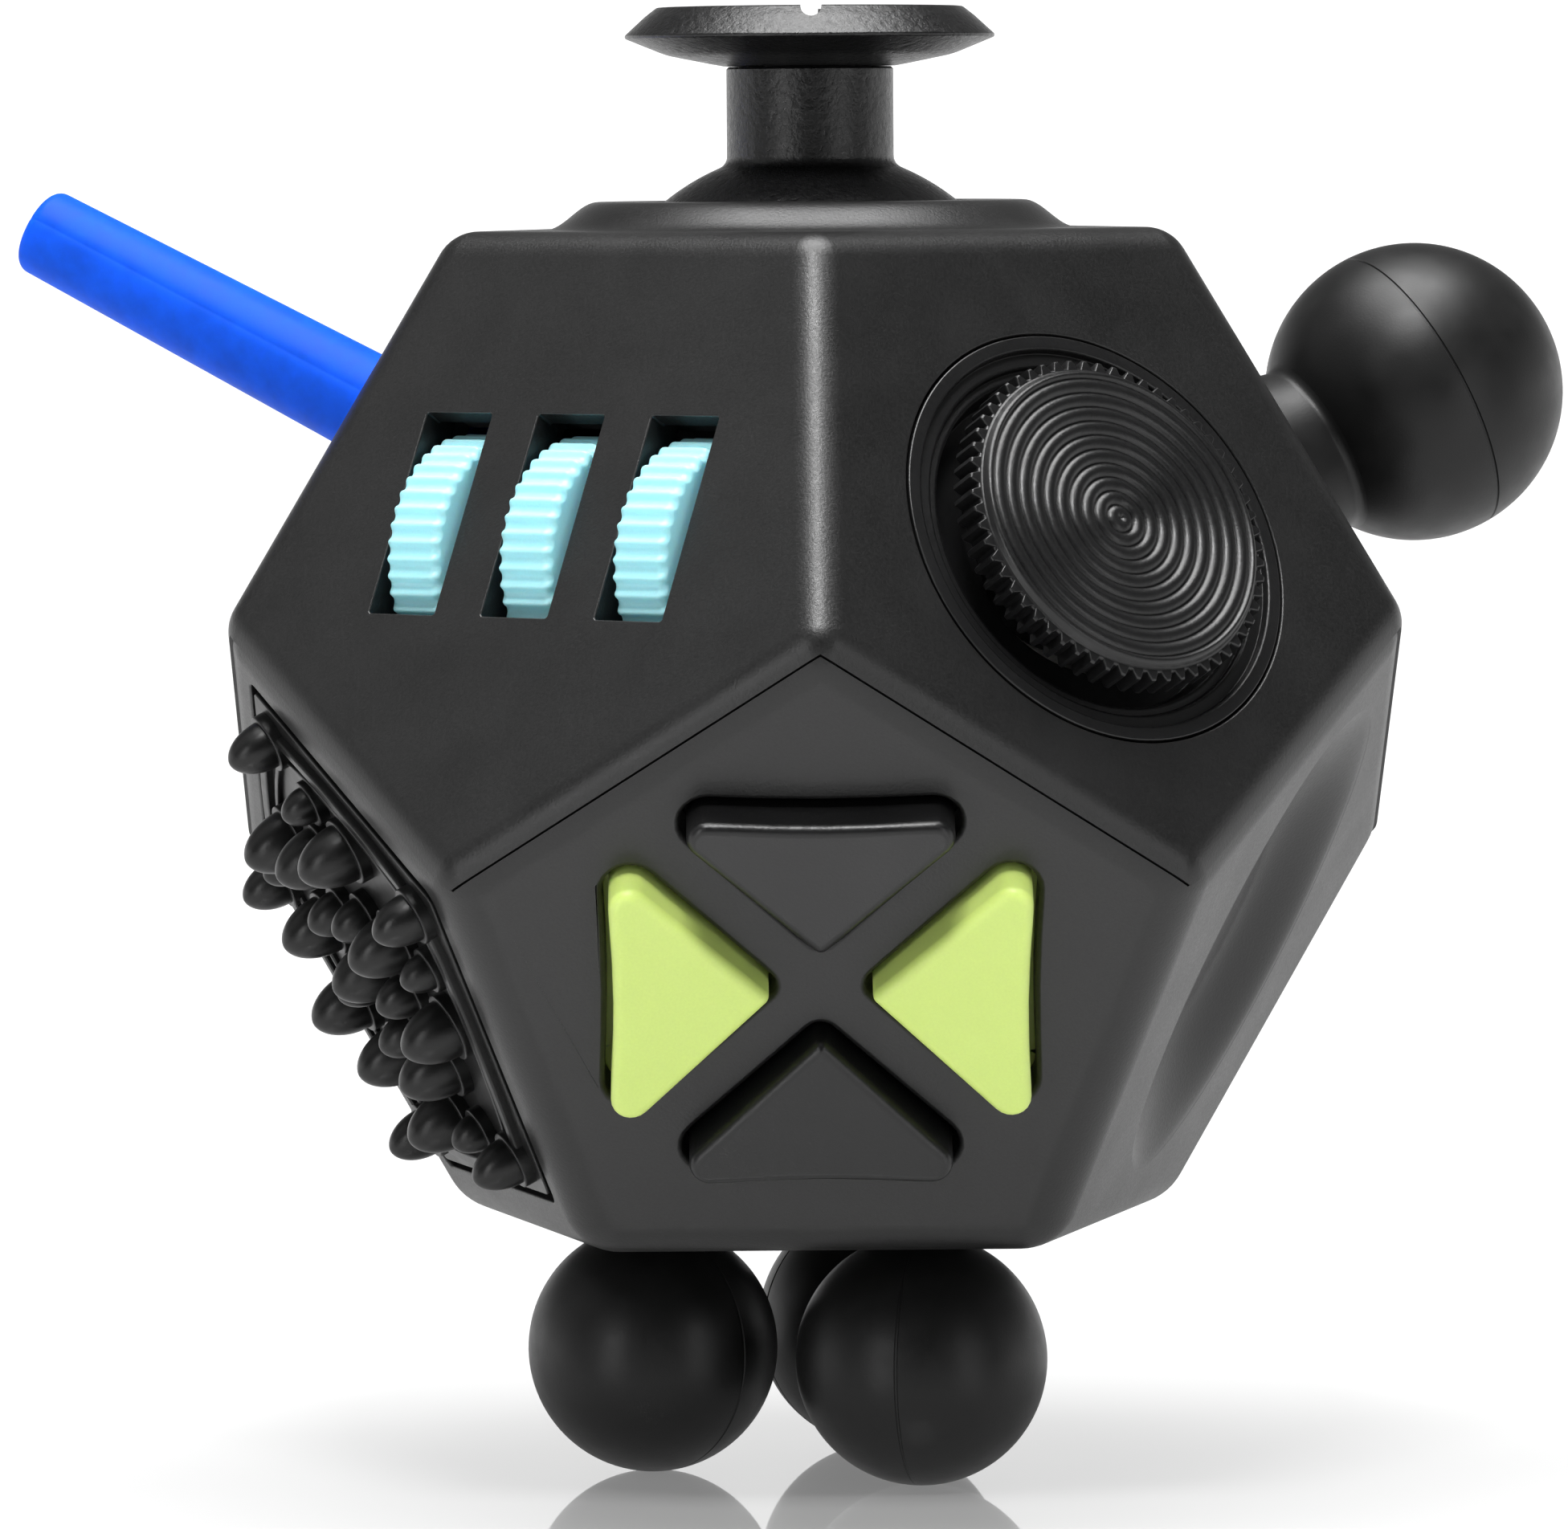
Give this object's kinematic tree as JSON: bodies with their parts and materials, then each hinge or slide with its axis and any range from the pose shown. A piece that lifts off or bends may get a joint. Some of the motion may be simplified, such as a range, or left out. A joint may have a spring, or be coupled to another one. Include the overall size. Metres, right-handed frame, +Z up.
{
  "type": "fidget cube",
  "caption": "Dodecahedral desk fidget toy on ball feet: tilting joystick, glide disc, thumb rollers, push buttons, massage pad, soft ball and soft rod.",
  "frame": {"origin": "on the surface that the toy stands on, under the centre of the body, where its three ball feet touch", "axes": "+Z up through the joystick; +Y to the back, away from the face with the four buttons; +X to the right, towards the side with the soft ball"},
  "size_m": [0.0705, 0.0542, 0.0657],
  "materials": {
    "shell": "fine-grained black ABS, satin",
    "black_plastic": "black plastic, satin",
    "inner_plastic": "dark grey moulded plastic, matt",
    "white_plastic": "natural acetal, satin",
    "aqua_plastic": "pale aqua plastic, semi-gloss",
    "lime_plastic": "lime green plastic, satin",
    "black_silicone": "black silicone, matt",
    "blue_silicone": "bright blue silicone, matt",
    "grey_silicone": "grey silicone, matt",
    "steel": "bright steel"
  },
  "bodies": {
    "root": {"upper_shell": "shell", "lower_shell": "shell", "joystick_cup": "inner_plastic", "joystick_centring_plate": "white_plastic", "joystick_spring": "steel", "joystick_screw_1": "steel", "joystick_screw_2": "steel", "joystick_screw_3": "steel", "roller_axle": "steel", "roller_bracket": "inner_plastic", "roller_click_comb": "white_plastic", "roller_screw_1": "steel", "roller_screw_2": "steel", "glide_bezel": "black_plastic", "glide_spring": "steel", "glide_housing": "inner_plastic", "glide_screw_1": "steel", "glide_screw_2": "steel", "glide_screw_3": "steel", "button_membrane": "grey_silicone", "button_back_plate": "inner_plastic", "button_screw_1": "steel", "button_screw_2": "steel", "button_screw_3": "steel", "massage_pad": "black_silicone", "ball_foot_front": "black_silicone", "ball_foot_right": "black_silicone", "ball_foot_rear": "black_silicone", "toggle_pin": "steel", "toggle_bracket": "inner_plastic", "toggle_leaf_spring": "steel", "toggle_screw_1": "steel", "toggle_screw_2": "steel", "ball_cup": "inner_plastic", "ball_cup_screw_1": "steel", "ball_cup_screw_2": "steel", "dial_click_spring": "steel", "dial_spring_screw": "steel"},
    "gimbal": {"joystick_gimbal_ring": "white_plastic"},
    "joystick": {"joystick_cap": "black_plastic", "joystick_stem": "black_plastic"},
    "roller_left": {"roller_wheel_left": "aqua_plastic"},
    "roller_middle": {"roller_wheel_middle": "aqua_plastic"},
    "roller_right": {"roller_wheel_right": "aqua_plastic"},
    "glide_slider": {"glide_cross_slider": "black_plastic"},
    "glide": {"glide_disc": "black_plastic", "glide_retainer": "white_plastic"},
    "top_button": {"button_top": "black_plastic"},
    "left_button": {"button_left": "lime_plastic"},
    "bottom_button": {"button_bottom": "black_plastic"},
    "right_button": {"button_right": "lime_plastic"},
    "toggle": {"toggle_rocker": "black_plastic"},
    "bearing_ball": {"rolling_ball": "steel"},
    "dial": {"click_dial": "black_plastic", "dial_ratchet": "white_plastic", "dial_screw": "steel"},
    "rod": {"flex_rod": "blue_silicone"},
    "side_ball": {"squeeze_ball": "black_silicone"}
  },
  "joints": [
    {"name": "joystick_tilt_front_back", "type": "hinge", "parent": "root", "child": "gimbal", "pos_m": [0, 0, 0.0489], "axis": [1, 0, 0], "range_deg": [-12, 12], "stiffness_Nm_per_rad": 0.03},
    {"name": "joystick_tilt_side", "type": "hinge", "parent": "gimbal", "child": "joystick", "pos_m": [0, 0, 0.0489], "axis": [0, 1, 0], "range_deg": [-12, 12], "stiffness_Nm_per_rad": 0.03},
    {"name": "roller_left_spin", "type": "hinge", "parent": "root", "child": "roller_left", "pos_m": [-0.01447, -0.00919, 0.04147], "axis": [0.809, -0.5878, 0], "continuous": true},
    {"name": "roller_middle_spin", "type": "hinge", "parent": "root", "child": "roller_middle", "pos_m": [-0.00953, -0.01278, 0.04147], "axis": [0.809, -0.5878, 0], "continuous": true},
    {"name": "roller_right_spin", "type": "hinge", "parent": "root", "child": "roller_right", "pos_m": [-0.0046, -0.01636, 0.04147], "axis": [0.809, -0.5878, 0], "continuous": true},
    {"name": "glide_across", "type": "slide", "parent": "root", "child": "glide_slider", "axis": [0.809, 0.5878, 0], "range_m": [-0.0012, 0.0012], "stiffness_N_per_m": 300},
    {"name": "glide_up_down", "type": "slide", "parent": "glide_slider", "child": "glide", "axis": [-0.2629, 0.3618, 0.8944], "range_m": [-0.0012, 0.0012], "stiffness_N_per_m": 300},
    {"name": "top_button_press", "type": "slide", "parent": "root", "child": "top_button", "axis": [0, 0.8944, 0.4472], "range_m": [0, 0.001], "stiffness_N_per_m": 800},
    {"name": "left_button_press", "type": "slide", "parent": "root", "child": "left_button", "axis": [0, 0.8944, 0.4472], "range_m": [0, 0.001], "stiffness_N_per_m": 800},
    {"name": "bottom_button_press", "type": "slide", "parent": "root", "child": "bottom_button", "axis": [0, 0.8944, 0.4472], "range_m": [0, 0.001], "stiffness_N_per_m": 800},
    {"name": "right_button_press", "type": "slide", "parent": "root", "child": "right_button", "axis": [0, 0.8944, 0.4472], "range_m": [0, 0.001], "stiffness_N_per_m": 800},
    {"name": "toggle_rock", "type": "hinge", "parent": "root", "child": "toggle", "pos_m": [0, 0.01706, 0.04203], "axis": [-1, 0, 0], "range_deg": [0, 24]},
    {"name": "rolling_ball_spin", "type": "hinge", "parent": "root", "child": "bearing_ball", "pos_m": [-0.0105, 0.01445, 0.02457], "axis": [-0.809, -0.5878, 0], "continuous": true},
    {"name": "dial_turn", "type": "hinge", "parent": "root", "child": "dial", "pos_m": [0.01171, 0.01612, 0.02354], "axis": [0.5257, 0.7236, -0.4472], "continuous": true},
    {"name": "rod_bend", "type": "hinge", "parent": "root", "child": "rod", "pos_m": [-0.01665, 0.00541, 0.04605], "axis": [-0.309, -0.9511, 0], "range_deg": [-20, 20], "stiffness_Nm_per_rad": 0.02},
    {"name": "side_ball_bend", "type": "hinge", "parent": "root", "child": "side_ball", "pos_m": [0.01809, 0.00588, 0.04301], "axis": [-0.309, 0.9511, 0], "range_deg": [-15, 15], "stiffness_Nm_per_rad": 0.03}
  ]
}
